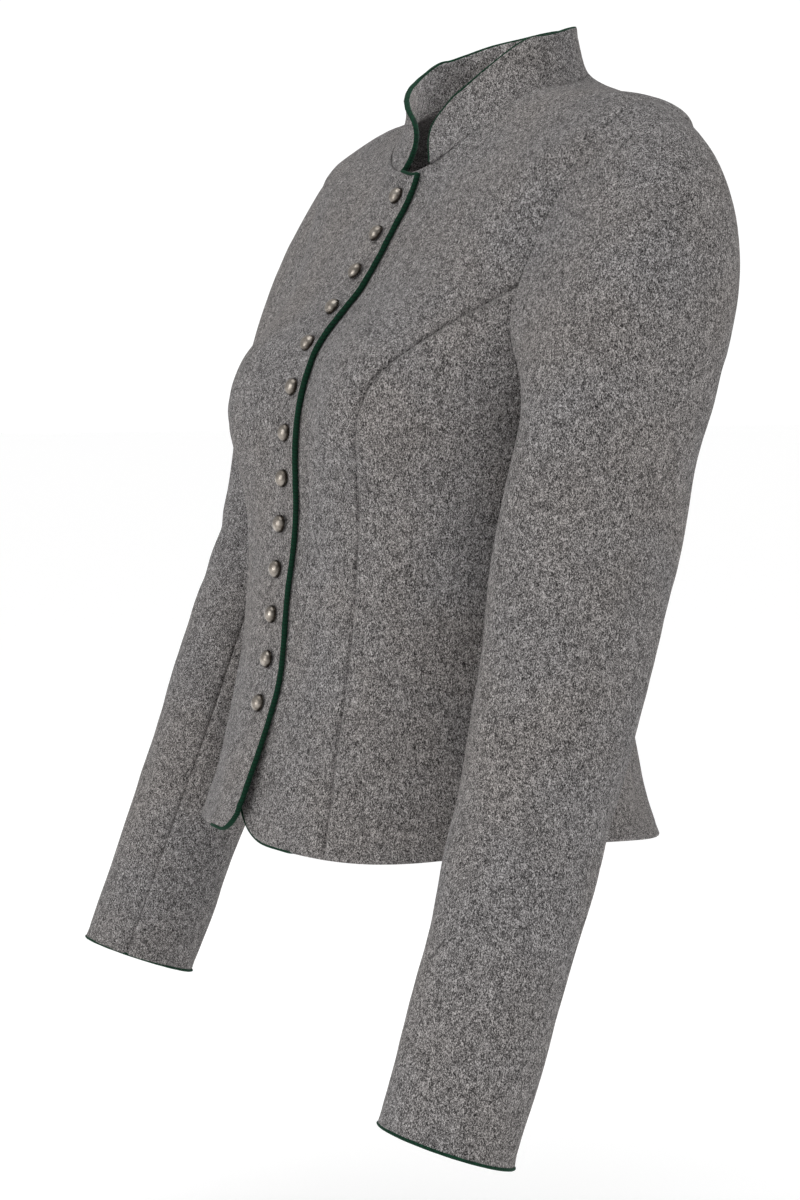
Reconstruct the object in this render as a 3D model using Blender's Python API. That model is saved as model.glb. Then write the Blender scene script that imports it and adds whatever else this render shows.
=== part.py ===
"""Waist-length Tyrolean loden jacket, worn on a general figure with no wearer in it.

Metres, +Z up. The origin is the nape, just under the collar seam at the centre back: the
wearer carries the jacket there. The front faces -Y and the wearer's left is +X.
"""

import bmesh
import bpy
import math
import numpy as np
from mathutils import Matrix, Vector

# Cloth and trim
CLOTH = 0.0020            # wall of the loden
COLLAR_CLOTH = 0.0030     # the collar is two layers
SEAM = 0.00020            # each piece stops this short of its seam line
PIPING_RADIUS = 0.0016
PIPING_CLEAR = 0.0004     # from the cloth edge to the cord
PIPING_SIDES = 6
PIPING_TRIM = 0.14        # a piping's end is cut back by this share of its last step

# Closing: the right front laps over the left
OVERLAP = 0.015           # each front runs this far past the centre line
LAP_OUT = 0.0018          # how far the right front lies outside the form
LAP_IN = 0.0013           # how far the left front lies inside it
LAP_FLAT = 0.022          # full lap as far as this from the centre line
LAP_FADE = 0.035          # then the two fronts return to the form over this width
HEM_SWING = 0.007         # the unbuttoned corner of the right front stands away
CORNER_RIGHT, CORNER_LEFT = 0.021, 0.058  # radii of the lower front corners
CORNER_BLEND = 0.16       # the corner's curve has died out at this v
RIGHT_SHORT = 0.001       # the right hem rises as that corner swings out
RIGHT_SHORT_WIDE = 0.075
HEM_PIPING_RIGHT, HEM_PIPING_LEFT = 0.030, 0.070   # the piping stops this far from the centre

# Buttons, from the neckline down the centre front
BUTTON_COUNT = 13
BUTTON_FIRST = 0.016
BUTTON_PITCH = 0.0294
BUTTON_RADIUS = 0.0060
BUTTON_DOME = 0.0042
BUTTON_RIM = 0.0008
BUTTON_CLEAR = 0.0007
BUTTON_SIDES = 12
SHANK_RADIUS = 0.0013
SLIT_START, SLIT_END = -0.0100, 0.0030   # buttonhole, along X
SLIT_HEIGHT = 0.0036

RISE = 1.5   # how quickly a section's height changes away from the side line

# Torso sections, hem to neck. v runs 0 at the hem to 1 at the neckline; a section is a
# superellipse whose front, side and back points have their own heights.
TORSO_COLUMNS = ("v", "z_front", "z_side", "z_back", "y_front", "y_mid", "y_back", "half", "square")
TORSO_SECTIONS = (
    (0.00, -0.491, -0.488, -0.510, -0.197, -0.052, 0.105, 0.150, 2.20),  # hem
    (0.07, -0.460, -0.459, -0.468, -0.187, -0.053, 0.092, 0.141, 2.20),
    (0.15, -0.425, -0.424, -0.426, -0.177, -0.053, 0.083, 0.137, 2.20),
    (0.24, -0.385, -0.383, -0.382, -0.167, -0.052, 0.076, 0.136, 2.20),  # waist
    (0.35, -0.335, -0.334, -0.334, -0.161, -0.047, 0.071, 0.140, 2.20),
    (0.47, -0.280, -0.282, -0.284, -0.155, -0.038, 0.078, 0.146, 2.20),
    (0.58, -0.228, -0.234, -0.236, -0.150, -0.028, 0.089, 0.156, 2.30),  # bust
    (0.67, -0.187, -0.190, -0.192, -0.139, -0.019, 0.097, 0.163, 2.35),
    (0.77, -0.140, -0.118, -0.128, -0.106, -0.007, 0.101, 0.170, 2.35),
    (0.87, -0.103, -0.038, -0.054, -0.083, -0.001, 0.093, 0.179, 2.20),  # shoulder tips
    (0.94, -0.083, -0.019, -0.013, -0.071, 0.000, 0.079, 0.115, 2.10),
    (1.00, -0.067, -0.015, 0.005, -0.063, -0.001, 0.061, 0.065, 2.00),   # neckline
)
BUST_X, BUST_Z, BUST_OUT, BUST_WIDE, BUST_HIGH = 0.085, -0.212, 0.0225, 0.055, 0.060
HEM_DIP, HEM_DIP_UP = 0.0055, 0.20   # the hem dips between front and side, and the dip ends at this v

# Seams on the torso, as the angle from the centre front in degrees
PRINCESS_COLUMNS = ("v", "angle")
PRINCESS = ((0.00, 33.0), (0.24, 31.0), (0.42, 30.0), (0.56, 31.0), (0.64, 33.0), (0.69, 39.0),
            (0.72, 47.0), (0.745, 58.0))
ARMHOLE_V, ARMHOLE_HIGH = 0.757, 0.125       # middle and half height, in v
ARMHOLE_FRONT, ARMHOLE_BACK = 32.0, 30.0     # half widths, degrees
ARMHOLE_CLEAR = 0.0025                       # share of its size that each side of its seam keeps off
SIDE_TIP = 0.004                             # the side front's tip ends this far, in v, below the armhole
NECK_GAP = 0.0015                            # the body ends this far, in v, below the collar
NECK_DROP, NECK_DROP_WIDE = 0.014, 0.021     # the right front's neck corner is cut lower, in v and metres

# Sleeve sections below the cap: centre line, half widths and how far the ring leans
SLEEVE_COLUMNS = ("z", "x", "y", "wide", "thick", "lean")
SLEEVE_SECTIONS = (
    (-0.235, 0.1980, -0.040, 0.0615, 0.0390, 0.02),
    (-0.300, 0.1910, -0.051, 0.0620, 0.0390, 0.10),
    (-0.340, 0.1950, -0.063, 0.0570, 0.0425, 0.16),
    (-0.380, 0.2025, -0.077, 0.0520, 0.0440, 0.22),
    (-0.460, 0.2115, -0.105, 0.0465, 0.0435, 0.33),
    (-0.540, 0.2215, -0.136, 0.0430, 0.0400, 0.37),
    (-0.634, 0.2290, -0.172, 0.0425, 0.0370, 0.38),
)
RIGHT_ARM_BACK, RIGHT_ARM_UP = 0.0082, 0.007  # the right arm hangs a little further back and higher
RIGHT_ARM_SWING = 0.0062                      # its elbow is that much further forward
SLEEVE_FRONT_SEAM, SLEEVE_BACK_SEAM = 144, 252   # degrees from the outer side, by the front
SLEEVE_STEP = 18                                 # degrees between columns; the armhole shares them

# Collar: rises from the neckline, open at the front with rounded, flared ends
COLLAR_HEIGHT_COLUMNS = ("angle", "left", "right")   # angle from the centre front in degrees
COLLAR_HEIGHTS = ((0, 0.0400, 0.0430), (30, 0.0400, 0.0430), (45, 0.0390, 0.0405), (60, 0.0370, 0.0358),
                  (75, 0.0362, 0.0330), (88, 0.0358, 0.0332), (105, 0.0358, 0.0354),
                  (120, 0.0355, 0.0362), (150, 0.0325, 0.0332), (180, 0.0305, 0.0305))
COLLAR_LEAN_BACK, COLLAR_LEAN_FRONT = 0.15, 0.30     # inward lean, as a slope
COLLAR_RIGHT_OUT = 0.18                              # the top of the right end leans in less, by this much
COLLAR_END_COLUMNS = ("h", "left", "right")          # how far each end stops from the centre front
COLLAR_ENDS = ((0.00, 0.0230, 0.0085), (0.15, 0.0205, 0.0068), (0.30, 0.0178, 0.0056),
               (0.45, 0.0152, 0.0046), (0.60, 0.0135, 0.0046), (0.75, 0.0140, 0.0062),
               (0.85, 0.0175, 0.0095), (0.93, 0.0235, 0.0165), (1.00, 0.0310, 0.0310))

# Mesh steps
LOW_ROWS = (0, .02, .05, .09, .14, .19, .24, .30, .36, .42, .47, .52, .56, .60)
HIGH_ROWS = (.91, .94, .97, 1)
FRONT_STEPS = (0, .004, .010, .018, .028, .042)      # columns near the edge, metres from it
FRONT_COLUMNS, SIDE_COLUMNS, BACK_COLUMNS = 6, 5, 8
CAP_ROWS, ARM_ROWS = 6, 9
COLLAR_COLUMNS, COLLAR_ROWS = 28, 5


def columns_of(names, rows):
    """A table as one array for each named column."""
    return {name: np.array([row[k] for row in rows], float) for k, name in enumerate(names)}


TORSO = columns_of(TORSO_COLUMNS, TORSO_SECTIONS)
SEAM_LINE = columns_of(PRINCESS_COLUMNS, PRINCESS)
ARM = columns_of(SLEEVE_COLUMNS, SLEEVE_SECTIONS)
COLLAR_LINE = columns_of(COLLAR_END_COLUMNS, COLLAR_ENDS)
COLLAR_TOP = columns_of(COLLAR_HEIGHT_COLUMNS, COLLAR_HEIGHTS)


def body_rows():
    """Rows of every body panel: those beside the armhole fall on the sleeve's columns."""
    turns = np.radians(np.arange(180, -1, -SLEEVE_STEP))
    beside = ARMHOLE_V + ARMHOLE_HIGH * (1 + ARMHOLE_CLEAR) * np.cos(turns)
    return np.sort(np.concatenate([LOW_ROWS, beside, [SEAM_LINE["v"][-1]], HIGH_ROWS]))


def smooth(stations, values, at):
    """A smooth curve through the values that never overshoots them."""
    at = np.clip(np.asarray(at, float), stations[0], stations[-1])
    step = np.diff(stations)
    slope = np.diff(values) / step
    tangent = np.concatenate([slope[:1], np.zeros(len(slope) - 1), slope[-1:]])
    for i in range(1, len(slope)):
        if slope[i - 1] * slope[i] > 0:
            near, far = 2 * step[i] + step[i - 1], step[i] + 2 * step[i - 1]
            tangent[i] = (near + far) / (near / slope[i - 1] + far / slope[i])
    k = np.clip(np.searchsorted(stations, at, side="right") - 1, 0, len(slope) - 1)
    t = (at - stations[k]) / step[k]
    return (
        (1 + 2 * t) * (1 - t) ** 2 * values[k]
        + t * (1 - t) ** 2 * step[k] * tangent[k]
        + t * t * (3 - 2 * t) * values[k + 1]
        + t * t * (t - 1) * step[k] * tangent[k + 1]
    )


def ease(t):
    """0 to 1 with soft ends."""
    t = np.clip(t, 0, 1)
    return t * t * (3 - 2 * t)


def torso(phi, v):
    """Outer face of the body. phi is 0 at the centre front, pi/2 at the side, pi at the back."""
    phi, v = np.broadcast_arrays(np.asarray(phi, float), np.asarray(v, float))
    size = {name: smooth(TORSO["v"], TORSO[name], v) for name in TORSO_COLUMNS[1:]}
    cos, sin = np.cos(phi), np.sin(phi)
    power = 2 / size["square"]
    front = cos > 0
    x = size["half"] * np.sign(sin) * np.abs(sin) ** power
    depth = np.where(front, size["y_mid"] - size["y_front"], size["y_back"] - size["y_mid"])
    y = size["y_mid"] - depth * np.sign(cos) * np.abs(cos) ** power
    z_ends = np.where(front, size["z_front"], size["z_back"])
    z = size["z_side"] + np.abs(cos) ** RISE * (z_ends - size["z_side"])
    dip = HEM_DIP * (1 - ease(v / HEM_DIP_UP)) * np.where(front, np.sin(2 * phi) ** 2, 0)
    fullness = np.exp(-(((np.abs(x) - BUST_X) / BUST_WIDE) ** 2) - ((z - BUST_Z) / BUST_HIGH) ** 2)
    y = y - BUST_OUT * fullness * np.sqrt(np.clip(cos, 0, 1))
    return np.stack([x, y, z - dip], -1)


def angle_at(x, v):
    """The angle at which the section at v is x away from the centre front."""
    half, square = smooth(TORSO["v"], TORSO["half"], v), smooth(TORSO["v"], TORSO["square"], v)
    return np.sign(x) * np.arcsin(np.clip(np.abs(x) / half, 0, 1) ** (square / 2))


def armhole_angle(v, half_width, grow=1.0):
    """How far the armhole reaches from the side line at v, in radians, or 0 beyond it."""
    part = 1 - ((v - ARMHOLE_V) / (ARMHOLE_HIGH * grow)) ** 2
    return math.radians(half_width) * grow * np.sqrt(np.clip(part, 0, None))


def sleeve(psi, w, side):
    """Outer face of a sleeve, as if it were the left one. psi is 0 outside, pi/2 at the front and
    pi next to the body; w is 0 to 1 over the cap and 1 to 2 from there to the cuff."""
    psi, w = np.broadcast_arrays(np.asarray(psi, float), np.asarray(w, float))
    cos, sin = np.cos(psi), np.sin(psi)
    back, swing, up = (RIGHT_ARM_BACK, RIGHT_ARM_SWING, RIGHT_ARM_UP) if side < 0 else (0, 0, 0)

    def ring(share):
        z = ARM["z"][0] + share * (ARM["z"][-1] - ARM["z"][0])
        size = {name: smooth(-ARM["z"], ARM[name], -z) for name in SLEEVE_COLUMNS[1:]}
        return np.stack([
            size["x"] + size["thick"] * cos,
            size["y"] - size["wide"] * sin * np.cos(size["lean"]) + back - swing * np.sin(math.pi * share) ** 2,
            z + size["wide"] * sin * np.sin(size["lean"]) + up * share,
        ], -1)

    inset = 1 - ARMHOLE_CLEAR
    reach = np.where(sin > 0, ARMHOLE_FRONT, ARMHOLE_BACK)
    start = torso(math.pi / 2 - np.radians(reach) * inset * sin, ARMHOLE_V + ARMHOLE_HIGH * inset * cos)
    end = ring(np.clip(w - 1, 0, 1))
    top = (1 + cos) / 2
    leave = np.stack([0.62 + 0.33 * top, -0.30 * sin, -0.34 - 0.42 * np.abs(sin)], -1)
    arrive = np.stack([-0.08 - 0 * psi, -0.20 + 0 * psi, -0.97 + 0 * psi], -1)
    span = np.linalg.norm(ring(0 * w) - start, axis=-1)[..., None]
    bulge = (1.0 + 0.30 * top)[..., None]
    t = np.clip(w, 0, 1)[..., None]
    cap = (
        (1 + 2 * t) * (1 - t) ** 2 * start
        + t * (1 - t) ** 2 * span * bulge * leave
        + t * t * (3 - 2 * t) * ring(0 * w)
        + t * t * (t - 1) * span * arrive
    )
    return np.where((w <= 1)[..., None], cap, end)


def collar(phi, h):
    """Outer face of the collar. h is 0 at the neckline and 1 at the top edge."""
    phi, h = np.broadcast_arrays(np.asarray(phi, float), np.asarray(h, float))
    base = torso(phi, 1 + 0 * phi)
    lean = COLLAR_LEAN_FRONT + (COLLAR_LEAN_BACK - COLLAR_LEAN_FRONT) * ease((1 - np.cos(phi)) / 2)
    right = np.sin(phi) < 0
    lean = lean - COLLAR_RIGHT_OUT * h**2 * np.where(right, np.clip(np.cos(phi), 0, 1), 0)
    inward = -np.stack([np.sin(phi), -np.cos(phi), 0 * phi], -1)
    angle = np.degrees(np.arccos(np.clip(np.cos(phi), -1, 1)))
    height = [smooth(COLLAR_TOP["angle"], COLLAR_TOP[name], angle) for name in ("left", "right")]
    rise = h * np.where(right, height[1], height[0])
    return base + inward * (lean * rise)[..., None] + np.stack([0 * rise, 0 * rise, rise + SEAM], -1)


def faced(form, a, b):
    """The points of a form and the outward normal at each."""
    nudge = 1e-4
    along_a = form(a + nudge, b) - form(a - nudge, b)
    along_b = form(a, b + nudge) - form(a, b - nudge)
    normal = np.cross(along_a, along_b)
    return form(a, b), normal / np.linalg.norm(normal, axis=-1, keepdims=True)


def pulled(phi, v, distance):
    """phi moved round the section by a distance."""
    speed = np.linalg.norm(torso(phi + 1e-4, v) - torso(phi - 1e-4, v), axis=-1) / 2e-4
    return phi + distance / speed


def mirrored(grid, side):
    return grid * np.array([side, 1.0, 1.0])


def material(name, colour, roughness, metallic=0.0):
    made = bpy.data.materials.new(name)
    made.use_nodes = True
    shader = made.node_tree.nodes["Principled BSDF"]
    shader.inputs["Base Color"].default_value = (*colour, 1)
    shader.inputs["Roughness"].default_value = roughness
    shader.inputs["Metallic"].default_value = metallic
    return made


def add_object(name, points, faces, finish):
    """A mesh object with its faces turned outwards."""
    points = np.asarray(points, float)
    corners = [(points[f[0]], points[f[k]], points[f[k + 1]]) for f in faces for k in range(1, len(f) - 1)]
    if sum(np.dot(a, np.cross(b, c)) for a, b, c in corners) < 0:
        faces = [face[::-1] for face in faces]
    mesh = bpy.data.meshes.new(name)
    mesh.from_pydata([tuple(p) for p in points], [], faces)
    mesh.materials.append(finish)
    mesh.shade_smooth()
    mesh.set_sharp_from_angle(angle=math.radians(50))
    made = bpy.data.objects.new(name, mesh)
    bpy.context.scene.collection.objects.link(made)
    return made


def wall(name, points, normals, thickness, finish):
    """A cloth piece: the grid is its outer face, and its inner face lies a thickness inside."""
    rows, cols = points.shape[:2]
    inner = points - normals * thickness
    both = np.concatenate([points.reshape(-1, 3), inner.reshape(-1, 3)])
    under = rows * cols

    def at(i, j):
        return i * cols + j

    faces = []
    for i in range(rows - 1):
        for j in range(cols - 1):
            quad = (at(i, j), at(i, j + 1), at(i + 1, j + 1), at(i + 1, j))
            faces += [quad, tuple(q + under for q in reversed(quad))]
    border = [at(0, j) for j in range(cols)] + [at(i, cols - 1) for i in range(1, rows)]
    border += [at(rows - 1, j) for j in range(cols - 2, -1, -1)]
    border += [at(i, 0) for i in range(rows - 2, 0, -1)]
    for a, b in zip(border, border[1:] + border[:1]):
        faces.append((b, a, a + under, b + under))
    return add_object(name, both, faces, finish)


def cord(name, path, radius, finish, closed=False):
    """A round cord along a path of points, with flat ends or closed on itself."""
    path = np.asarray(path, float)
    count = len(path)
    ahead = np.roll(path, -1, 0) - np.roll(path, 1, 0)
    if not closed:
        ahead[0], ahead[-1] = path[1] - path[0], path[-1] - path[-2]
    ahead /= np.linalg.norm(ahead, axis=1, keepdims=True)
    across = np.zeros_like(path)
    across[0] = np.cross(ahead[0], (0.3, 0.5, 0.8))
    for i in range(1, count):
        across[i] = across[i - 1]
        across[i] -= ahead[i] * np.dot(across[i], ahead[i])
    across /= np.linalg.norm(across, axis=1, keepdims=True)
    across[0] -= ahead[0] * np.dot(across[0], ahead[0])
    other = np.cross(ahead, across)
    turn = 2 * math.pi * np.arange(PIPING_SIDES) / PIPING_SIDES
    rings = path[:, None] + radius * (
        np.cos(turn)[None, :, None] * across[:, None] + np.sin(turn)[None, :, None] * other[:, None]
    )
    faces = []
    for i in range(count if closed else count - 1):
        after = (i + 1) % count
        for k in range(PIPING_SIDES):
            beside = (k + 1) % PIPING_SIDES
            faces.append((i * PIPING_SIDES + k, i * PIPING_SIDES + beside,
                          after * PIPING_SIDES + beside, after * PIPING_SIDES + k))
    if not closed:
        last = (count - 1) * PIPING_SIDES
        faces += [tuple(range(PIPING_SIDES))[::-1], tuple(range(last, last + PIPING_SIDES))]
    return add_object(name, rings.reshape(-1, 3), faces, finish)


def beside_edge(points, normals, outward, thickness):
    """The centre line of a piping that lies against a cloth edge."""
    return points - normals * thickness / 2 + outward * (PIPING_RADIUS + PIPING_CLEAR)


def edge_outward(points, normals, into):
    """For each point of an edge, the direction in the cloth that leads away from the piece."""
    along = np.gradient(points, axis=0)
    away = np.cross(along, normals)
    away /= np.linalg.norm(away, axis=1, keepdims=True)
    return away * np.sign(np.sum(away * (points - into), axis=1))[:, None]


def lap(side, x, v):
    """How far a front lies off the form; x is measured from the centre towards its own side."""
    near = 1 - ease((x - LAP_FLAT) / LAP_FADE)
    if side > 0:
        return -LAP_IN * near
    swing = HEM_SWING * (1 - ease(v / 0.20)) * (1 - ease((x + OVERLAP) / 0.075))
    return LAP_OUT * near + swing


def front_grid(side):
    """Points and normals of a front, edge column first and hem row first."""
    v = body_rows()
    princess = np.radians(smooth(SEAM_LINE["v"], SEAM_LINE["angle"], v))
    hole = math.pi / 2 - armhole_angle(v, ARMHOLE_FRONT, 1 + ARMHOLE_CLEAR)
    outer = np.where(v <= SEAM_LINE["v"][-1], princess, hole)
    outer = pulled(outer, v, -SEAM)
    near = [angle_at(step - OVERLAP, v) for step in FRONT_STEPS]
    far = [near[-1] + (outer - near[-1]) * (k + 1) / FRONT_COLUMNS for k in range(FRONT_COLUMNS)]
    phi = np.stack(near + far, 1)
    v = np.repeat(v[:, None], phi.shape[1], 1)
    v[-1] -= NECK_GAP
    height = (TORSO["z_front"][1] - TORSO["z_front"][0]) / TORSO["v"][1]
    corner = CORNER_LEFT if side > 0 else CORNER_RIGHT
    if side < 0:
        near = 1 - ease(torso(phi, v)[..., 0] / RIGHT_SHORT_WIDE)
        v = v + RIGHT_SHORT / height * near * np.clip(1 - v / CORNER_BLEND, 0, 1)
        x = torso(phi[-1], v[-1])[:, 0]
        v[-1] -= NECK_DROP * (1 - ease((x + OVERLAP) / NECK_DROP_WIDE))
    for j, step in enumerate(FRONT_STEPS):
        lift = corner - math.sqrt(corner**2 - max(corner - step, 0) ** 2)
        v[:, j] += lift / height * np.clip(1 - v[:, j] / CORNER_BLEND, 0, 1)
        phi[:, j] = angle_at(step - OVERLAP, v[:, j])
    points, normals = faced(torso, phi, v)
    points = points + normals * lap(side, points[..., 0], v)[..., None]
    return mirrored(points, side), mirrored(normals, side)


def front_piping(side, points, normals):
    """The piping runs down the front edge, round the corner and a little way along the hem."""
    reach = HEM_PIPING_LEFT if side > 0 else HEM_PIPING_RIGHT
    edge = list(range(len(points) - 1, 0, -1))
    hem = [j for j in range(points.shape[1]) if side * points[0, j, 0] < reach]
    line = np.concatenate([points[edge, 0], points[0, hem]])
    faces = np.concatenate([normals[edge, 0], normals[0, hem]])
    into = np.concatenate([points[edge, 3], points[np.full(len(hem), 4), np.array(hem) + 2]])
    away = edge_outward(line, faces, into)
    path = beside_edge(line, faces, away, CLOTH)
    path[0] += (path[1] - path[0]) * PIPING_TRIM
    return path


def make_fronts(loden, green):
    grids = {}
    for side, word in ((1, "left"), (-1, "right")):
        points, normals = front_grid(side)
        grids[side] = wall(f"front_{word}", points, normals, CLOTH, loden)
        cord(f"piping_front_{word}", front_piping(side, points, normals), PIPING_RADIUS, green)
    return grids


def make_side_fronts(loden):
    """The panel between the princess seam and the side seam, up to the armhole."""
    join = SEAM_LINE["v"][-1]
    rows = body_rows()
    v = np.append(rows[rows < join], join - SIDE_TIP)
    inner = pulled(np.radians(smooth(SEAM_LINE["v"], SEAM_LINE["angle"], v)), v, SEAM)
    outer = pulled(math.pi / 2 - armhole_angle(v, ARMHOLE_FRONT, 1 + ARMHOLE_CLEAR), v, -SEAM)
    phi = inner[:, None] + (outer - inner)[:, None] * np.linspace(0, 1, SIDE_COLUMNS + 1)
    points, normals = faced(torso, phi, np.repeat(v[:, None], SIDE_COLUMNS + 1, 1))
    for side, word in ((1, "left"), (-1, "right")):
        wall(f"side_front_{word}", mirrored(points, side), mirrored(normals, side), CLOTH, loden)


def make_backs(loden):
    """Each back runs from the side and shoulder seams to the centre back seam."""
    v = body_rows()
    inner = pulled(math.pi / 2 + armhole_angle(v, ARMHOLE_BACK, 1 + ARMHOLE_CLEAR), v, SEAM)
    outer = pulled(np.full(len(v), math.pi), v, -SEAM)
    phi = inner[:, None] + (outer - inner)[:, None] * np.linspace(0, 1, BACK_COLUMNS + 1)
    v[-1] -= NECK_GAP
    points, normals = faced(torso, phi, np.repeat(v[:, None], BACK_COLUMNS + 1, 1))
    for side, word in ((1, "left"), (-1, "right")):
        wall(f"back_{word}", mirrored(points, side), mirrored(normals, side), CLOTH, loden)


def make_sleeves(loden, green):
    """Two-piece sleeves: a wide top piece and a narrower one underneath, and a piped cuff."""
    w = np.concatenate([np.linspace(0, 1, CAP_ROWS, endpoint=False), np.linspace(1, 2, ARM_ROWS + 1)])
    close = SEAM / ARM["thick"].mean()
    spans = {}
    for piece, first, last in (("top", SLEEVE_BACK_SEAM - 360, SLEEVE_FRONT_SEAM),
                               ("under", SLEEVE_FRONT_SEAM, SLEEVE_BACK_SEAM)):
        spans[piece] = np.radians(np.arange(first, last + 1, SLEEVE_STEP))
        spans[piece][[0, -1]] += (close, -close)
    round_cuff = np.radians(np.arange(0, 360, SLEEVE_STEP))
    for side, word in ((1, "left"), (-1, "right")):
        def form(a, b, side=side):
            return sleeve(a, b, side)

        for piece, psi in spans.items():
            points, normals = faced(form, *np.meshgrid(psi, w))
            wall(f"sleeve_{piece}_{word}", mirrored(points, side), mirrored(normals, side), CLOTH, loden)
        points, normals = faced(form, round_cuff, np.full(len(round_cuff), 1.9995))
        down = points - form(round_cuff, 1.97)
        down /= np.linalg.norm(down, axis=1, keepdims=True)
        path = mirrored(beside_edge(points, normals, down, CLOTH), side)
        cord(f"piping_cuff_{word}", path, PIPING_RADIUS, green, closed=True)


def make_collar(loden, green):
    h = np.linspace(0, 1, COLLAR_ROWS + 1)
    left, right = [angle_at(smooth(COLLAR_LINE["h"], COLLAR_LINE[name], h), 1.0) for name in ("left", "right")]
    share = np.linspace(0, 1, COLLAR_COLUMNS + 1)
    phi = left[:, None] + (2 * math.pi - left - right)[:, None] * share
    points, normals = faced(collar, phi, np.repeat(h[:, None], COLLAR_COLUMNS + 1, 1))
    wall("collar", points, normals, COLLAR_CLOTH, loden)
    line = np.concatenate([points[:-1, 0], points[-1], points[-2::-1, -1]])
    faces = np.concatenate([normals[:-1, 0], normals[-1], normals[-2::-1, -1]])
    into = np.concatenate([points[:-1, 2], points[-3], points[-2::-1, -3]])
    path = beside_edge(line, faces, edge_outward(line, faces, into), COLLAR_CLOTH)
    path[0] += (path[1] - path[0]) * PIPING_TRIM
    path[-1] += (path[-2] - path[-1]) * PIPING_TRIM
    cord("piping_collar", path, PIPING_RADIUS, green)


def button_places():
    """A frame for each button on the centre front: X along the wearer's left, Z out of the cloth."""
    v = np.linspace(1, 0, 2001)
    line = torso(0 * v, v)
    run = np.concatenate([[0], np.cumsum(np.linalg.norm(np.diff(line, axis=0), axis=1))])
    places = []
    for number in range(BUTTON_COUNT):
        at = np.interp(BUTTON_FIRST + number * BUTTON_PITCH, run, v)
        point, normal = faced(torso, np.array(0.0), np.array(at))
        out = Vector(normal)
        up = out.cross(Vector((1, 0, 0)))
        turn = Matrix((Vector((1, 0, 0)), up, out)).transposed().to_4x4()
        offset = float(lap(-1, 0.0, at))
        places.append((Matrix.Translation(Vector(point) + out * offset) @ turn, offset))
    return places


def button_mesh(finish):
    """A domed button turned about its shank; z = 0 is the outer face of the right front."""
    foot = -(LAP_OUT + LAP_IN) + BUTTON_CLEAR
    rim = BUTTON_CLEAR + BUTTON_RIM
    profile = [(0, rim + BUTTON_DOME)]
    for turn in np.radians((64, 38, 12)):
        profile.append((BUTTON_RADIUS * math.cos(turn), rim + BUTTON_DOME * math.sin(turn)))
    profile += [
        (BUTTON_RADIUS, rim),
        (BUTTON_RADIUS - BUTTON_RIM / 2, BUTTON_CLEAR),
        (SHANK_RADIUS, BUTTON_CLEAR),
        (SHANK_RADIUS, foot),
        (0, foot),
    ]
    turned = bmesh.new()
    corners = [turned.verts.new((r, 0, z)) for r, z in profile]
    edges = [turned.edges.new(pair) for pair in zip(corners, corners[1:])]
    bmesh.ops.spin(turned, geom=corners + edges, axis=(0, 0, 1), cent=(0, 0, 0),
                   angle=2 * math.pi, steps=BUTTON_SIDES, use_merge=True)
    bmesh.ops.remove_doubles(turned, verts=turned.verts, dist=1e-6)
    bmesh.ops.recalc_face_normals(turned, faces=turned.faces)
    mesh = bpy.data.meshes.new("button")
    turned.to_mesh(mesh)
    turned.free()
    mesh.materials.append(finish)
    mesh.shade_smooth()
    mesh.set_sharp_from_angle(angle=math.radians(40))
    return mesh


def make_buttons(front, silver):
    """The shanks pass through slits in the right front and are sewn to the left front."""
    mesh = button_mesh(silver)
    slits = bmesh.new()
    for number, (place, _) in enumerate(button_places(), 1):
        made = bpy.data.objects.new(f"button_{number:02d}", mesh)
        made.matrix_world = place
        bpy.context.scene.collection.objects.link(made)
        size = Matrix.Diagonal((SLIT_END - SLIT_START, SLIT_HEIGHT, 4 * CLOTH, 1))
        middle = Matrix.Translation(((SLIT_START + SLIT_END) / 2, 0, -CLOTH / 2))
        bmesh.ops.create_cube(slits, size=1, matrix=place @ middle @ size)
    cutter_mesh = bpy.data.meshes.new("buttonholes")
    slits.to_mesh(cutter_mesh)
    slits.free()
    cutter = bpy.data.objects.new("buttonholes", cutter_mesh)
    cutter.hide_render = True
    cutter.display_type = "WIRE"
    bpy.context.scene.collection.objects.link(cutter)
    cut = front.modifiers.new("buttonholes", "BOOLEAN")
    cut.operation = "DIFFERENCE"
    cut.object = cutter


def main():
    for old in list(bpy.data.objects):
        bpy.data.objects.remove(old)
    loden = material("grey_loden", (0.165, 0.153, 0.150), 0.95)
    green = material("green_piping", (0.004, 0.040, 0.020), 0.80)
    silver = material("old_silver", (0.45, 0.42, 0.37), 0.32, 1.0)
    fronts = make_fronts(loden, green)
    make_side_fronts(loden)
    make_backs(loden)
    make_sleeves(loden, green)
    make_collar(loden, green)
    make_buttons(fronts[-1], silver)


main()
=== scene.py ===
import math

import bpy
import numpy as np
from mathutils import Matrix, Vector


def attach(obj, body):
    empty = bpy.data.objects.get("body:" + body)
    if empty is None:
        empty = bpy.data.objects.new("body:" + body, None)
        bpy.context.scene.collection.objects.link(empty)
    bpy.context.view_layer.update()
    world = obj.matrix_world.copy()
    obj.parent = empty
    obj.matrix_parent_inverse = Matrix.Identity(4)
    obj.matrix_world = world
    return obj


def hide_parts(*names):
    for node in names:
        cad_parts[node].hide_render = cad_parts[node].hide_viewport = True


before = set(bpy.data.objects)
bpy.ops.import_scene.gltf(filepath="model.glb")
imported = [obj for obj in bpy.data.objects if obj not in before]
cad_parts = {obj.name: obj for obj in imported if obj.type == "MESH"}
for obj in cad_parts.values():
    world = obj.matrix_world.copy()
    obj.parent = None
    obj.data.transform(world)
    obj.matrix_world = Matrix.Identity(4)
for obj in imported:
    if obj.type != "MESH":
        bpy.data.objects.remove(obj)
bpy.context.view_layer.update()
print("frame loaded:", len(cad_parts), "nodes")

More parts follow.
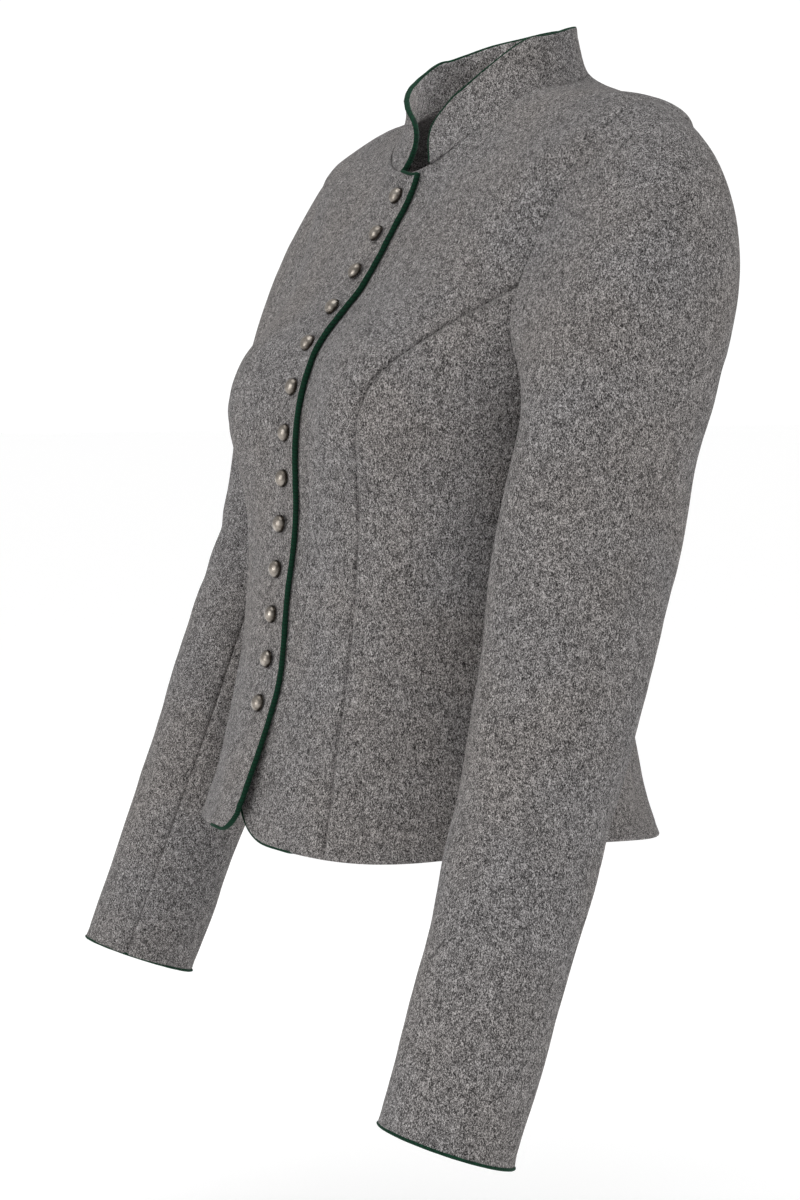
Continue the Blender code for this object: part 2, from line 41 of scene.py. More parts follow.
# Metres, +Z up, the nape at the origin, the front towards -Y and the wearer's left towards +X.
# Every cloth piece is a fine shell on the same form as its solid, with its relief added.
# side is 1 for the wearer's left and -1 for the right.

torso = {
    "columns": ("v", "zFront", "zSide", "zBack", "yFront", "yMid", "yBack", "half", "square"),
    "sections": (  # hem to neckline; each is a superellipse
        (0.00, -0.491, -0.488, -0.510, -0.197, -0.052, 0.105, 0.150, 2.20),  # hem
        (0.07, -0.460, -0.459, -0.468, -0.187, -0.053, 0.092, 0.141, 2.20),
        (0.15, -0.425, -0.424, -0.426, -0.177, -0.053, 0.083, 0.137, 2.20),
        (0.24, -0.385, -0.383, -0.382, -0.167, -0.052, 0.076, 0.136, 2.20),  # waist
        (0.35, -0.335, -0.334, -0.334, -0.161, -0.047, 0.071, 0.140, 2.20),
        (0.47, -0.280, -0.282, -0.284, -0.155, -0.038, 0.078, 0.146, 2.20),
        (0.58, -0.228, -0.234, -0.236, -0.150, -0.028, 0.089, 0.156, 2.30),  # bust
        (0.67, -0.187, -0.190, -0.192, -0.139, -0.019, 0.097, 0.163, 2.35),
        (0.77, -0.140, -0.118, -0.128, -0.106, -0.007, 0.101, 0.170, 2.35),
        (0.87, -0.103, -0.038, -0.054, -0.083, -0.001, 0.093, 0.179, 2.20),  # shoulder tips
        (0.94, -0.083, -0.019, -0.013, -0.071, 0.000, 0.079, 0.115, 2.10),
        (1.00, -0.067, -0.015, 0.005, -0.063, -0.001, 0.061, 0.065, 2.00),  # neckline
    ),
    "rise": 1.5,  # how quickly height changes away from the side
    "bust": {"x": 0.085, "z": -0.212, "out": 0.0225, "wide": 0.055, "high": 0.060},
    "hemDip": 0.0055, "hemDipUp": 0.20,
    "neckFill": 0.0044, "neckFillWide": 0.0090,  # rounds the corner between shoulder and collar
    "shoulderFill": 0.0012, "shoulderFillWide": 0.008,  # and the one between shoulder and sleeve
}
princess = {"columns": ("v", "angle"),
            "line": ((0.00, 33.0), (0.24, 31.0), (0.42, 30.0), (0.56, 31.0), (0.64, 33.0), (0.69, 39.0),
                     (0.72, 47.0), (0.745, 58.0)),
            "low": 1.15, "bust": 1.55,  # how deep the seam lies below the bust and over it
            "bustFrom": 0.58, "bustOver": 0.06, "flat": 0.8, "flatOver": 0.01}
armhole = {"v": 0.757, "high": 0.125, "front": 32.0, "back": 30.0, "clear": 0.0008, "step": 3}
closing = {"overlap": 0.015, "out": 0.0018, "inside": 0.0013, "flat": 0.022, "fade": 0.035,
           "swing": 0.007, "swingUp": 0.20, "swingWide": 0.075,
           "cornerRight": 0.017, "cornerLeft": 0.058, "cornerUp": 0.16,
           "rightShort": 0.001, "rightShortWide": 0.075,
           "neckDrop": 0.014, "neckDropWide": 0.021,  # the right neck corner is cut lower
           "neckDropFrom": 0.90, "neckDropBend": 1.5}
cloth = {"thick": 0.0021, "gap": 0.00006,
         "seamDepth": 0.00165, "seamWide": 0.0010,  # the groove along a seam
         "seamSteep": 0.6, "seamSlope": 0.0025,  # how much of it is steep, and its gentler sides
         "seamPuff": 0.00025, "seamPuffAt": 0.0045,  # the cloth beside it stands up a little
         "seamPuffWide": 0.0030,
         "pucker": 0.00022, "puckerReach": 0.012, "puckerSize": 0.022,
         "edgePuff": 0.00050, "edgePuffWide": 0.0030,  # turned edges are fuller
         "ditch": 0.00030, "ditchAt": 0.0062, "ditchWide": 0.0009,
         "wave": 0.00065, "waveSize": 0.080, "ripple": 0.00012, "rippleSize": 0.018, "calmBy": 0.018,
         "creaseLip": 0.5, "creaseLipAt": 2.0, "creaseLipWide": 1.2, "creaseFade": 0.8}
pressed = {"sideSeam": 0.8, "backSeam": 1.1, "sleeveSeam": 0.6, "armholeSeam": 0.1,  # how deep they lie
           "hem": 0.7, "cuff": 0.8, "collar": 0.5,  # how full each turned edge is
           "sideFlat": 0.8, "sideFlatFrom": 0.63, "sideFlatOver": 0.03,  # nearly flat under the arm
           "backFlat": 0.9, "backFlatFrom": 0.90, "backFlatOver": 0.08,  # and towards the nape
           "hemRound": 0.0008, "cuffRound": 0.0006, "edgeRound": 0.0004}
grids = {"rowsLow": 92, "rowsHigh": 26, "lowCrowd": 0.45,  # how finely the body is divided
         "edge": 24, "edgeWide": 0.042, "edgeCrowd": 1.25,
         "front": 90, "sideFront": 72, "back": 120, "seamCrowd": 0.86, "neckline": 90}


def tableOf(columns, rows):
    return {name: np.array([row[k] for row in rows], float) for k, name in enumerate(columns)}


torsoTable = tableOf(torso["columns"], torso["sections"])
princessTable = tableOf(princess["columns"], princess["line"])


def smoothThrough(stations, values, at):
    # a smooth curve through the values that never overshoots them
    at = np.clip(np.asarray(at, float), stations[0], stations[-1])
    step = np.diff(stations)
    slope = np.diff(values) / step
    tangent = np.concatenate([slope[:1], np.zeros(len(slope) - 1), slope[-1:]])
    for i in range(1, len(slope)):
        if slope[i - 1] * slope[i] > 0:
            near, far = 2 * step[i] + step[i - 1], step[i] + 2 * step[i - 1]
            tangent[i] = (near + far) / (near / slope[i - 1] + far / slope[i])
    k = np.clip(np.searchsorted(stations, at, side="right") - 1, 0, len(slope) - 1)
    t = (at - stations[k]) / step[k]
    return (
        (1 + 2 * t) * (1 - t) ** 2 * values[k]
        + t * (1 - t) ** 2 * step[k] * tangent[k]
        + t * t * (3 - 2 * t) * values[k + 1]
        + t * t * (t - 1) * step[k] * tangent[k + 1]
    )


def eased(t):
    t = np.clip(t, 0, 1)
    return t * t * (3 - 2 * t)


def handed(points, side):
    return points * np.array([side, 1.0, 1.0])


def sideWord(side):
    return "Left" if side > 0 else "Right"


def fullTurn(count, start=0.0):
    return np.linspace(start, start + 2 * math.pi, count + 1)


def crowded(count, pull=0.55):
    # 0 to 1 in count steps, closer together at both ends
    t = np.linspace(0, 1, count + 1)
    return t - pull * np.sin(2 * math.pi * t) / (2 * math.pi)


def torsoForm(phi, v):
    # outer face of the body; phi is 0 at the centre front, a quarter turn at the side
    phi, v = np.broadcast_arrays(np.asarray(phi, float), np.asarray(v, float))
    size = {name: smoothThrough(torsoTable["v"], torsoTable[name], v) for name in torso["columns"][1:]}
    cos, sin = np.cos(phi), np.sin(phi)
    power = 2 / size["square"]
    front = cos > 0
    x = size["half"] * np.sign(sin) * np.abs(sin) ** power
    depth = np.where(front, size["yMid"] - size["yFront"], size["yBack"] - size["yMid"])
    y = size["yMid"] - depth * np.sign(cos) * np.abs(cos) ** power
    zEnds = np.where(front, size["zFront"], size["zBack"])
    z = size["zSide"] + np.abs(cos) ** torso["rise"] * (zEnds - size["zSide"])
    bust = torso["bust"]
    full = np.exp(-(((np.abs(x) - bust["x"]) / bust["wide"]) ** 2) - ((z - bust["z"]) / bust["high"]) ** 2)
    y = y - bust["out"] * full * np.sqrt(np.clip(cos, 0, 1))
    dip = torso["hemDip"] * (1 - eased(v / torso["hemDipUp"])) * np.where(front, np.sin(2 * phi) ** 2, 0)
    return np.stack([x, y, z - dip], -1)


def angleAt(x, v):
    half, square = (smoothThrough(torsoTable["v"], torsoTable[name], v) for name in ("half", "square"))
    return np.sign(x) * np.arcsin(np.clip(np.abs(x) / half, 0, 1) ** (square / 2))


def armholeReach(v, halfWidth):
    # half the width of the hole at v, a hair more than the sleeve that goes into it
    grow = 1 + armhole["clear"]
    part = 1 - ((v - armhole["v"]) / (armhole["high"] * grow)) ** 2
    return math.radians(halfWidth) * grow * np.sqrt(np.clip(part, 0, None))


def faced(form, a, b):
    # the points of a form and the outward normal at each
    nudge = 1e-4
    alongA = form(a + nudge, b) - form(a - nudge, b)
    alongB = form(a, b + nudge) - form(a, b - nudge)
    normal = np.cross(alongA, alongB)
    return form(a, b), normal / np.linalg.norm(normal, axis=-1, keepdims=True)


def shifted(phi, v, distance):
    speed = np.linalg.norm(torsoForm(phi + 1e-4, v) - torsoForm(phi - 1e-4, v), axis=-1) / 2e-4
    return phi + distance / speed


def unevenness(points, size, seed):
    # a smooth wandering value of about -1 to 1, the same on every run
    dice = np.random.default_rng(seed)
    total = np.zeros(points.shape[:-1])
    waves = 7
    for _ in range(waves):
        way = dice.normal(size=3)
        way /= np.linalg.norm(way)
        total += np.sin(points @ way * (2 * math.pi / size) * dice.uniform(0.6, 1.5) + dice.uniform(0, 6.3))
    return total / (waves / 2)


def awayFrom(points, line):
    # how far each point is from a line of points, and how far along the line it is, 0 to 1
    best = np.full(points.shape[:-1], np.inf)
    place = np.zeros(points.shape[:-1])
    run = np.concatenate([[0], np.cumsum(np.linalg.norm(np.diff(line, axis=0), axis=1))])
    for k in range(len(line) - 1):
        a, ab = line[k], line[k + 1] - line[k]
        length = max(float(ab @ ab), 1e-12)
        t = np.clip(((points - a) @ ab) / length, 0, 1)
        d = np.linalg.norm(points - a - t[..., None] * ab, axis=-1)
        closer = d < best
        best = np.where(closer, d, best)
        place = np.where(closer, run[k] + t * math.sqrt(length), place)
    return best, place / run[-1]


# the next few give the relief that the needle, the press and the wearer leave in the cloth

def bell(t):
    return np.exp(-(t**2))


def seamRelief(points, lines, seed, share=1.0):
    # share may vary over the piece
    lift = np.zeros(points.shape[:-1])
    steep = cloth["seamSteep"]
    for line in lines:
        d, _ = awayFrom(points, line)
        groove = steep * bell(d / cloth["seamWide"]) + (1 - steep) * bell(d / cloth["seamSlope"])
        puff = bell((d - cloth["seamPuffAt"]) / cloth["seamPuffWide"])
        pucker = bell(d / cloth["puckerReach"]) * unevenness(points, cloth["puckerSize"], seed)
        lift += share * (-cloth["seamDepth"] * groove + cloth["seamPuff"] * puff + cloth["pucker"] * pucker)
    return lift


def edgeRelief(points, lines):
    lift = np.zeros(points.shape[:-1])
    for line in lines:
        d, _ = awayFrom(points, line)
        lift += cloth["edgePuff"] * bell(d / cloth["edgePuffWide"])
        lift -= cloth["ditch"] * bell((d - cloth["ditchAt"]) / cloth["ditchWide"])
    return lift


def creaseRelief(points, form, creases):
    # each crease runs from (a0, b0) to (a1, b1) on the form: a trough with a soft lip on each side
    lift = np.zeros(points.shape[:-1])
    for a0, b0, a1, b1, bow, depth, wide in creases:
        t = np.linspace(0, 1, 14)
        a = np.radians(a0 + (a1 - a0) * t)
        b = b0 + (b1 - b0) * t + bow * np.sin(math.pi * t)
        d, place = awayFrom(points, form(a, b))
        fade = np.sin(math.pi * np.clip(place, 0, 1)) ** cloth["creaseFade"]
        lips = bell((d - cloth["creaseLipAt"] * wide) / (cloth["creaseLipWide"] * wide))
        lift += depth * fade * (cloth["creaseLip"] * lips - bell(d / wide))
    return lift


def waviness(points, side):
    # one slow unevenness for the whole jacket, so neighbours agree; it dies out at the neckline
    world = handed(points, side)
    neck, _ = awayFrom(world, torsoForm(fullTurn(grids["neckline"]), 1.0))
    wave = cloth["wave"] * unevenness(world, cloth["waveSize"], 21)
    ripple = cloth["ripple"] * unevenness(world, cloth["rippleSize"], 31)
    return (1 - bell(neck / cloth["calmBy"])) * (wave + ripple)


def nodeOf(name):
    # frontLeft stands in for the solid front_left, and so on; standCollar stands in for collar
    node = "".join("_" + letter.lower() if letter.isupper() else letter for letter in name)
    return node.removeprefix("stand_")


def placed(name, data, place=(0, 0, 0), target=None):
    # puts an object in the scene, aimed at the target if there is one
    made = bpy.data.objects.new(name, data)
    made.location = place
    if target:
        made.rotation_euler = (Vector(target) - made.location).to_track_quat("-Z", "Y").to_euler()
    bpy.context.scene.collection.objects.link(made)
    return made


def meshObject(name, points, faces, finish, slot, *nodes):
    points = np.asarray(points, float)
    mesh = bpy.data.meshes.new(name)
    mesh.from_pydata(points.tolist(), [], faces)
    mesh.materials.append(finish)
    mesh.shade_smooth()
    made = placed(name, mesh)
    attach(made, "root")
    if nodes:
        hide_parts(*nodes)
    return made


def ringFaces(near, far, sides):
    after = [*range(1, sides), 0]
    return [(near + k, near + m, far + m, far + k) for k, m in enumerate(after)]


def sewnShell(name, points, normals, thick, bulge):
    # the grid is the outer face; bulge rounds each border: low row, high row, first and last column
    rows, cols = points.shape[:2]
    under = points - normals * thick
    count = rows * cols
    index = np.arange(count).reshape(rows, cols)
    quads = np.stack([index[:-1, :-1], index[:-1, 1:], index[1:, 1:], index[1:, :-1]], -1).reshape(-1, 4)
    faces = quads.tolist() + (quads[:, ::-1] + count).tolist()
    rim = [(0, j) for j in range(cols)] + [(i, cols - 1) for i in range(1, rows)]
    rim += [(rows - 1, j) for j in range(cols - 2, -1, -1)] + [(i, 0) for i in range(rows - 2, 0, -1)]
    i, j = np.array(rim).T
    edge = points[i, j]
    inward = points[np.clip(i, 1, rows - 2), np.clip(j, 1, cols - 2)]
    away = edge - inward
    face = normals[i, j]
    away -= face * np.sum(away * face, -1, keepdims=True)
    away /= np.linalg.norm(away, axis=-1, keepdims=True) + 1e-12
    share = np.zeros(len(rim))
    for here, amount in zip((i == 0, i == rows - 1, j == 0, j == cols - 1), bulge):
        share = np.where(here, np.maximum(share, amount), share)
    middle = (edge + under[i, j]) / 2
    half = (edge - under[i, j]) / 2
    rings = []
    for turn in np.radians((45, 90, 135)):
        rings.append(middle + half * math.cos(turn) + away * (share * math.sin(turn))[:, None])
    loop = [index[a, b] for a, b in rim]
    loops = [loop] + [[2 * count + k * len(rim) + n for n in range(len(rim))] for k in range(3)]
    loops.append([n + count for n in loop])
    for first, second in zip(loops, loops[1:]):
        for n in range(len(rim)):
            m = (n + 1) % len(rim)
            faces.append((first[m], first[n], second[n], second[m]))
    every = np.concatenate([points.reshape(-1, 3), under.reshape(-1, 3)] + rings)
    a, b, c = every[quads[:, 0]], every[quads[:, 1]], every[quads[:, 2]]
    outward = np.sum(np.cross(b - a, c - b) * normals[:-1, :-1].reshape(-1, 3))
    if outward < 0:
        faces = [tuple(reversed(f)) for f in faces]
    return meshObject(name, every, faces, lodenCloth, "grey_loden", nodeOf(name))


def sewnPiece(kind, side, points, normals, bulge):
    points, normals = handed(points, side), handed(normals, side)
    return sewnShell(kind + sideWord(side), points, normals, cloth["thick"], bulge), points, normals


def newMaterial(name):
    made = bpy.data.materials.new(name)
    made.use_nodes = True
    return made, made.node_tree, made.node_tree.nodes["Principled BSDF"]


def dress(node, settings):
    for name, value in settings.items():
        node.inputs[name].default_value = value


def addNode(tree, kind, socket="", source=None, **settings):
    # a new node, with one socket fed by the source and the others set
    made = tree.nodes.new("ShaderNode" + kind)
    dress(made, settings)
    if source:
        tree.links.new(source, made.inputs[socket])
    return made


def noiseNode(tree, vector, scale, detail, rough, distortion=0.0):
    made = addNode(tree, "TexNoise", "Vector", vector, Scale=scale, Detail=detail, Roughness=rough,
                   Distortion=distortion)
    return made.outputs["Fac"]


def bumpNode(tree, height, strength, distance, shader):
    made = addNode(tree, "Bump", "Height", height, Strength=strength, Distance=distance)
    tree.links.new(made.outputs["Normal"], shader.inputs["Normal"])


def rampNode(tree, value, stops):
    made = addNode(tree, "ValToRGB", "Fac", value)
    ramp = made.color_ramp
    while len(ramp.elements) < len(stops):
        ramp.elements.new(0.5)
    for element, (place, colour) in zip(ramp.elements, stops):
        element.position = place
        element.color = (*colour, 1)
    return made.outputs["Color"]


def mathNode(tree, kind, first, second):
    made = addNode(tree, "Math")
    made.operation = kind
    for socket, value in zip(made.inputs, (first, second)):
        if isinstance(value, (int, float)):
            socket.default_value = value
        else:
            tree.links.new(value, socket)
    return made.outputs["Value"]


def mixNode(tree, kind, share, first, second):
    made = addNode(tree, "Mix")
    made.data_type = "RGBA"
    made.blend_type = kind
    for socket, value in zip((made.inputs[0], made.inputs[6], made.inputs[7]), (share, first, second)):
        if isinstance(value, (int, float)):
            socket.default_value = value
        elif isinstance(value, tuple):
            socket.default_value = (*value, 1)
        else:
            tree.links.new(value, socket)
    return made.outputs[2]


def weighted(tree, first, share, second):
    # so much of the first value, and the rest of the second
    return mathNode(tree, "ADD", mathNode(tree, "MULTIPLY", first, share),
                    mathNode(tree, "MULTIPLY", second, 1 - share))


def drifting(tree, value, amount):
    # a noise moved to lie on both sides of zero
    return mathNode(tree, "MULTIPLY", mathNode(tree, "SUBTRACT", value, 0.5), amount)


loden = {
    "dark": (0.014, 0.0130, 0.0130), "mid": (0.116, 0.1090, 0.1070), "light": (0.440, 0.420, 0.412),
    "stops": (0.395, 0.50, 0.612),  # where the noise turns dark, middling and light
    "curl": 840, "curling": 1.9, "fibre": 1700, "curlShare": 0.60,  # noise scales, per metre
    "mottle": 210, "drift": 0.12, "cloud": 13,
    "warm": (1.015, 1.0, 0.985), "cool": (0.985, 0.995, 1.01), "cloudStops": (0.38, 0.62),
    "lean": (0.5, 0.0, 0.35), "stretch": (1.0, 1.0, 0.62),  # the nap is brushed downwards
    "nap": 0.00055, "napStrength": 0.8,
    "skin": {"Roughness": 0.95, "Specular IOR Level": 0.15, "Sheen Weight": 0.05, "Sheen Roughness": 0.5,
             "Sheen Tint": (0.80, 0.78, 0.76, 1)},
}


def makeLoden():
    made, tree, shader = newMaterial("greyLoden")
    place = addNode(tree, "TexCoord").outputs["Object"]
    combed = addNode(tree, "Mapping", "Vector", place, Rotation=loden["lean"], Scale=loden["stretch"])
    along = combed.outputs["Vector"]
    curl = noiseNode(tree, along, loden["curl"], 2.0, 0.62, loden["curling"])
    fibre = noiseNode(tree, along, loden["fibre"], 1.0, 0.60, 1.0)
    mottle = noiseNode(tree, place, loden["mottle"], 3.0, 0.55)
    cloud = noiseNode(tree, place, loden["cloud"], 2.0, 0.50)
    both = weighted(tree, curl, loden["curlShare"], fibre)
    value = mathNode(tree, "ADD", both, drifting(tree, mottle, loden["drift"]))
    wool = (loden["dark"], loden["mid"], loden["light"])
    colour = rampNode(tree, value, tuple(zip(loden["stops"], wool)))
    tint = rampNode(tree, cloud, tuple(zip(loden["cloudStops"], (loden["cool"], loden["warm"]))))
    tree.links.new(mixNode(tree, "MULTIPLY", 1.0, colour, tint), shader.inputs["Base Color"])
    bumpNode(tree, both, loden["napStrength"], loden["nap"], shader)
    dress(shader, loden["skin"])
    return made


trim = {"green": (0.0008, 0.0310, 0.0135), "deep": (0.0005, 0.0130, 0.0060), "stops": (0.25, 0.70),
        "ribs": 1500 / math.tau, "ribShare": 0.45, "wobble": 1.2, "wear": 420, "lean": (0.6, 0.5, 0.4),
        "bump": 0.00012, "bumpStrength": 0.5,
        "skin": {"Roughness": 0.82, "Specular IOR Level": 0.2, "Sheen Weight": 0.04,
                 "Sheen Tint": (0.10, 0.45, 0.28, 1)}}


def makeTrim():
    made, tree, shader = newMaterial("greenTwill")
    place = addNode(tree, "TexCoord").outputs["Object"]
    lean = addNode(tree, "Mapping", "Vector", place, Rotation=trim["lean"]).outputs["Vector"]
    twill = addNode(tree, "TexWave", "Vector", lean, Scale=trim["ribs"], Distortion=trim["wobble"], Detail=1)
    ribs = twill.outputs["Fac"]
    wear = noiseNode(tree, place, trim["wear"], 2.0, 0.6)
    value = weighted(tree, ribs, trim["ribShare"], wear)
    colour = rampNode(tree, value, tuple(zip(trim["stops"], (trim["deep"], trim["green"]))))
    tree.links.new(colour, shader.inputs["Base Color"])
    bumpNode(tree, ribs, trim["bumpStrength"], trim["bump"], shader)
    dress(shader, trim["skin"])
    return made


# the tarnish colour is partly the silver's patina and partly a painted dark reflection of the surrounding
# cloth
oldSilver = {"bright": (0.50, 0.455, 0.405), "dull": (0.30, 0.265, 0.23), "tarnishAndPaintedReflection": (0.022, 0.018, 0.014),
             "stops": (0.35, 0.62), "worn": 260, "fine": 1600, "bump": 0.00006, "bumpStrength": 0.25,
             "rim": {"From Min": 0.0022, "From Max": 0.0061}, "rimWander": 0.0022,
             "polish": {"From Min": 0.35, "From Max": 0.65, "To Min": 0.34, "To Max": 0.20}}  # roughness


def makeOldSilver():
    made, tree, shader = newMaterial("agedSilver")
    place = addNode(tree, "TexCoord").outputs["Object"]  # each button has its own axes
    height = addNode(tree, "SeparateXYZ", "Vector", place).outputs["Z"]
    worn = noiseNode(tree, place, oldSilver["worn"], 3.0, 0.6)
    fine = noiseNode(tree, place, oldSilver["fine"], 2.0, 0.5)
    metal = (oldSilver["dull"], oldSilver["bright"])
    skin = rampNode(tree, worn, tuple(zip(oldSilver["stops"], metal)))
    uneven = mathNode(tree, "ADD", height, drifting(tree, worn, oldSilver["rimWander"]))
    reach = addNode(tree, "MapRange", "Value", uneven, **oldSilver["rim"])  # tarnish and a painted dark reflection of the cloth gather round the rim, darker from the dome's top down
    # painted dark reflection with tarnish: mixed in by height on the dome, darkest at the rim
    colour = mixNode(tree, "MIX", reach.outputs["Result"], oldSilver["tarnishAndPaintedReflection"], skin)
    tree.links.new(colour, shader.inputs["Base Color"])
    rough = addNode(tree, "MapRange", "Value", worn, **oldSilver["polish"])
    tree.links.new(rough.outputs["Result"], shader.inputs["Roughness"])
    bumpNode(tree, fine, oldSilver["bumpStrength"], oldSilver["bump"], shader)
    dress(shader, {"Metallic": 1.0})
    return made


lodenCloth = makeLoden()
greenTwill = makeTrim()
agedSilver = makeOldSilver()
print("finishes made")


def bodyRows():
    # rows beside the armhole fall on the sleeve's columns, so the two meet point to point
    turns = np.radians(np.arange(180, -1, -armhole["step"]))
    beside = armhole["v"] + armhole["high"] * (1 + armhole["clear"]) * np.cos(turns)
    low = beside[0] * crowded(grids["rowsLow"], grids["lowCrowd"])[:-1]
    high = beside[-1] + (1 - beside[-1]) * np.linspace(0, 1, grids["rowsHigh"] + 1)[1:]
    return np.concatenate([low, beside, high])


def neckFilled(points, phi):
    # fills the corner at the neckline, the same way for the body and the collar
    d, _ = awayFrom(points, torsoForm(fullTurn(2 * grids["neckline"]), 1.0))
    away = np.stack([np.sin(phi), -np.cos(phi), np.ones_like(phi)], -1) / math.sqrt(2)
    return points + away * (torso["neckFill"] * np.exp(-d / torso["neckFillWide"]))[..., None]


def shoulderFilled(points):
    # the same for the upper part of the armhole
    turns = fullTurn(180, -math.pi)
    reach = np.radians(np.where(turns > 0, armhole["front"], armhole["back"]))
    hole = torsoForm(math.pi / 2 - reach * np.sin(turns), armhole["v"] + armhole["high"] * np.cos(turns))
    d, place = awayFrom(points, hole)
    upper = (1 + np.cos((place * 2 - 1) * math.pi)) / 2
    return torso["shoulderFill"] * upper * np.exp(-d / torso["shoulderFillWide"])


def lapOf(side, x, v):
    near = 1 - eased((x - closing["flat"]) / closing["fade"])
    if side > 0:
        return -closing["inside"] * near
    lowEnd = 1 - eased(v / closing["swingUp"])
    swing = lowEnd * (1 - eased((x + closing["overlap"]) / closing["swingWide"]))
    return closing["out"] * near + closing["swing"] * swing


bodyCreases = {  # angle and v of each end, bow, depth, half width
    "frontLeft": ((60, 0.60, 40, 0.50, 0.010, 0.0011, 0.009), (84, 0.47, 44, 0.36, -0.012, 0.0009, 0.011),
                  (56, 0.20, 36, 0.16, 0.006, 0.0007, 0.010)),
    "frontRight": ((58, 0.61, 38, 0.53, 0.012, 0.0010, 0.0085), (80, 0.44, 46, 0.38, -0.010, 0.0008, 0.010)),
    "backLeft": ((98, 0.30, 150, 0.26, 0.010, 0.0016, 0.009), (112, 0.36, 168, 0.33, -0.008, 0.0012, 0.008),
                 (102, 0.58, 128, 0.72, 0.014, 0.0014, 0.010), (120, 0.16, 138, 0.02, 0.0, 0.0016, 0.015)),
    "backRight": ((100, 0.29, 146, 0.25, 0.008, 0.0014, 0.0085),
                  (118, 0.37, 164, 0.35, -0.006, 0.0013, 0.008),
                  (104, 0.60, 126, 0.70, 0.012, 0.0013, 0.009), (124, 0.15, 142, 0.02, 0.0, 0.0014, 0.014)),
}


def princessAngle(v):
    return np.radians(smoothThrough(princessTable["v"], princessTable["angle"], v))


def princessShare(v):
    # the princess seam is deep over the bust, shallower below it, and nearly flat beyond its end
    over = eased((v - princess["bustFrom"]) / princess["bustOver"])
    share = princess["low"] + (princess["bust"] - princess["low"]) * over
    return share * (1 - princess["flat"] * eased((v - princessTable["v"][-1]) / princess["flatOver"]))


def sideSeamRelief(base, line, v, seed):
    # under the arm the side seam and the armhole are pressed nearly flat
    flat = eased((v - pressed["sideFlatFrom"]) / pressed["sideFlatOver"])
    return pressed["sideSeam"] * seamRelief(base, [line], seed) * (1 - pressed["sideFlat"] * flat)


def frontGrid(side):
    v = bodyRows()
    hole = math.pi / 2 - armholeReach(v, armhole["front"])
    outer = shifted(np.where(v <= princessTable["v"][-1], princessAngle(v), hole), v, -cloth["gap"])
    steps = grids["edgeWide"] * np.linspace(0, 1, grids["edge"] + 1) ** grids["edgeCrowd"]
    near = np.stack([angleAt(step - closing["overlap"], v) for step in steps], 1)
    share = np.linspace(0, 1, grids["front"] + 1)[1:]
    share = share + grids["seamCrowd"] * np.sin(math.pi * share) / math.pi  # closer towards the seam
    far = near[:, -1:] + (outer[:, None] - near[:, -1:]) * share
    phi = np.concatenate([near, far], 1)
    v = np.repeat(v[:, None], phi.shape[1], 1)
    height = (torsoTable["zFront"][1] - torsoTable["zFront"][0]) / torsoTable["v"][1]
    x = torsoForm(phi, v)[..., 0]
    fade = np.clip(1 - v / closing["cornerUp"], 0, 1)
    if side < 0:
        lower = closing["neckDrop"] * (1 - eased((x + closing["overlap"]) / closing["neckDropWide"]))
        high = np.clip((v - closing["neckDropFrom"]) / (1 - closing["neckDropFrom"]), 0, 1)
        v = v - lower * high ** closing["neckDropBend"]
        v = v + closing["rightShort"] / height * (1 - eased(x / closing["rightShortWide"])) * fade
    corner = closing["cornerLeft"] if side > 0 else closing["cornerRight"]
    inside = np.clip(corner - (x + closing["overlap"]), 0, corner)
    v = v + (corner - np.sqrt(corner**2 - inside**2)) / height * fade
    for j, step in enumerate(steps):
        phi[:, j] = angleAt(step - closing["overlap"], v[:, j])
    return phi, v


def makeFront(side):
    phi, v = frontGrid(side)
    base, normals = faced(torsoForm, phi, v)
    lift = seamRelief(base, [base[:, -1]], 3 + side, princessShare(v))
    lift += edgeRelief(base, [base[:, 0]]) + pressed["hem"] * edgeRelief(base, [base[0]])
    lift += creaseRelief(base, torsoForm, bodyCreases["front" + sideWord(side)])
    lift += waviness(base, side)
    lift += shoulderFilled(base) + lapOf(side, base[..., 0], v)
    points = neckFilled(base + normals * lift[..., None], phi)
    return sewnPiece("front", side, points, normals, (pressed["hemRound"], 0, pressed["edgeRound"], 0))


def makeSideFront(side):
    rows = bodyRows()
    join = princessTable["v"][-1]
    v = np.append(rows[rows < join - 0.002], join - 0.0012)  # it ends in a point just short of the join
    inner = shifted(princessAngle(v), v, cloth["gap"])
    outer = shifted(math.pi / 2 - armholeReach(v, armhole["front"]), v, -cloth["gap"])
    phi = inner[:, None] + (outer - inner)[:, None] * crowded(grids["sideFront"], grids["seamCrowd"])
    v = np.repeat(v[:, None], phi.shape[1], 1)
    base, normals = faced(torsoForm, phi, v)
    lift = seamRelief(base, [base[:, 0]], 41 + side, princessShare(v))
    lift += pressed["hem"] * edgeRelief(base, [base[0]])
    lift += sideSeamRelief(base, base[:, -1], v, 43 + side)
    lift += creaseRelief(base, torsoForm, bodyCreases["front" + sideWord(side)])
    lift += waviness(base, side)
    points = base + normals * lift[..., None]
    return sewnPiece("sideFront", side, points, normals, (pressed["hemRound"], 0, 0, 0))[0]


def makeBack(side):
    v = bodyRows()
    inner = shifted(math.pi / 2 + armholeReach(v, armhole["back"]), v, cloth["gap"])
    phi = inner[:, None] + (math.pi - inner)[:, None] * crowded(grids["back"], grids["seamCrowd"])
    v = np.repeat(v[:, None], phi.shape[1], 1)
    base, normals = faced(torsoForm, phi, v)
    lift = sideSeamRelief(base, base[:, 0], v, 61 + side)
    flat = pressed["backFlat"] * eased((v - pressed["backFlatFrom"]) / pressed["backFlatOver"])
    lift += pressed["backSeam"] * seamRelief(base, [base[:, -1]], 62 + side) * (1 - flat)
    lift += pressed["hem"] * edgeRelief(base, [base[0]])
    lift += creaseRelief(base, torsoForm, bodyCreases["back" + sideWord(side)])
    lift += shoulderFilled(base) + waviness(base, side)
    points = neckFilled(base + normals * lift[..., None], phi)
    return sewnPiece("back", side, points, normals, (pressed["hemRound"], 0, 0, 0))[0]


